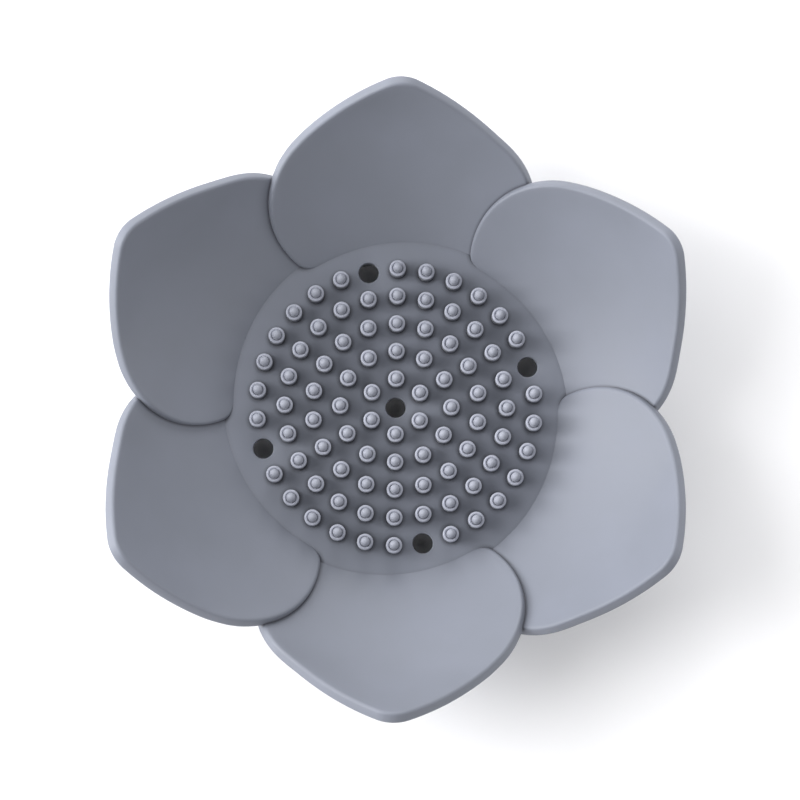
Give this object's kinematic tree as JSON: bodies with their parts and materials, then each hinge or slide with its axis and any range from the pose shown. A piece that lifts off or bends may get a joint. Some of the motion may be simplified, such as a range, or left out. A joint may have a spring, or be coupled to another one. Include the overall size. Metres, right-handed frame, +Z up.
{
  "type": "lotus soap dish",
  "caption": "Round draining soap dish with standing pins in a flat tray, ringed by raised, cupped petals that overlap like a pinwheel.",
  "frame": {"origin": "on the surface the dish stands on, under the centre of the tray", "axes": "+Z up out of the tray, +Y along a petal tip, +X to the right across the petals"},
  "size_m": [0.1034, 0.115, 0.03],
  "materials": {
    "silicone": "matt moulded grey silicone"
  },
  "bodies": {
    "root": {"tray_floor": "silicone", "foot_ring": "silicone", "petal_back": "silicone", "petal_back_right": "silicone", "petal_front_right": "silicone", "petal_front": "silicone", "petal_front_left": "silicone", "petal_back_left": "silicone", "soap_pins_ring_1": "silicone", "soap_pins_ring_2": "silicone", "soap_pins_ring_3": "silicone", "soap_pins_ring_4": "silicone", "soap_pins_ring_5": "silicone"}
  },
  "joints": []
}
